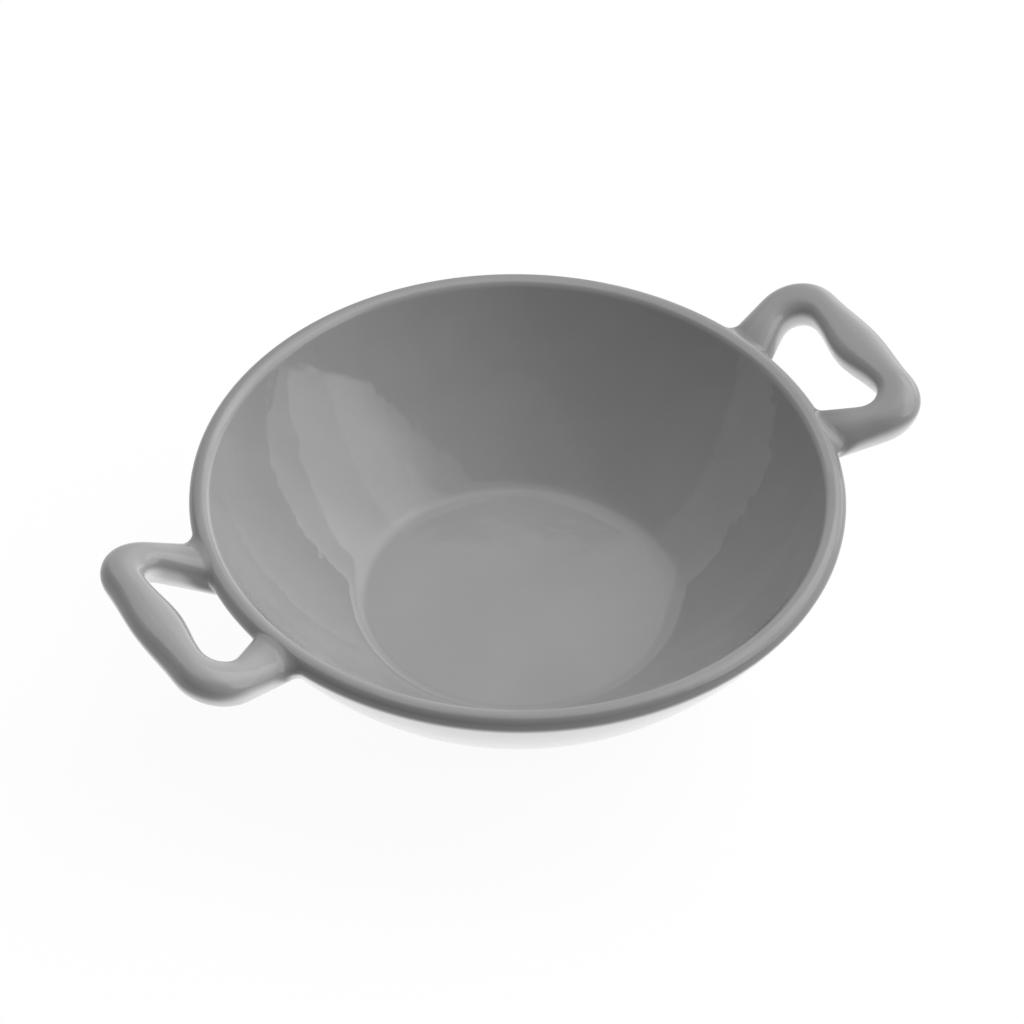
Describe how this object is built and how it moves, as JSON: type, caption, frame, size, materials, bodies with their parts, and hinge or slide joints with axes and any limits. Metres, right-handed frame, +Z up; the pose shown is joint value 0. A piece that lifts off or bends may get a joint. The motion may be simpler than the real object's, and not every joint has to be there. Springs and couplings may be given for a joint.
{
  "type": "lugged dish",
  "caption": "Round flared serving dish in glazed ceramic with a rolled lip, a turned foot ring and luted loop lugs on opposite sides for lifting.",
  "frame": {"origin": "centre of the foot ring, on the surface that the dish stands on", "axes": "+X along the line through both lugs, +Z up"},
  "size_m": [0.2092, 0.16, 0.0518],
  "materials": {
    "bowl_glaze": "gloss glaze, bare on the foot ring",
    "lug_glaze": "gloss glaze",
    "slip_glaze": "gloss glaze over wiped slip"
  },
  "bodies": {
    "root": {"bowl": "bowl_glaze", "lug_left": "lug_glaze", "lug_right": "lug_glaze", "slip_joint_left_front": "slip_glaze", "slip_joint_left_back": "slip_glaze", "slip_joint_right_front": "slip_glaze", "slip_joint_right_back": "slip_glaze"}
  },
  "joints": []
}
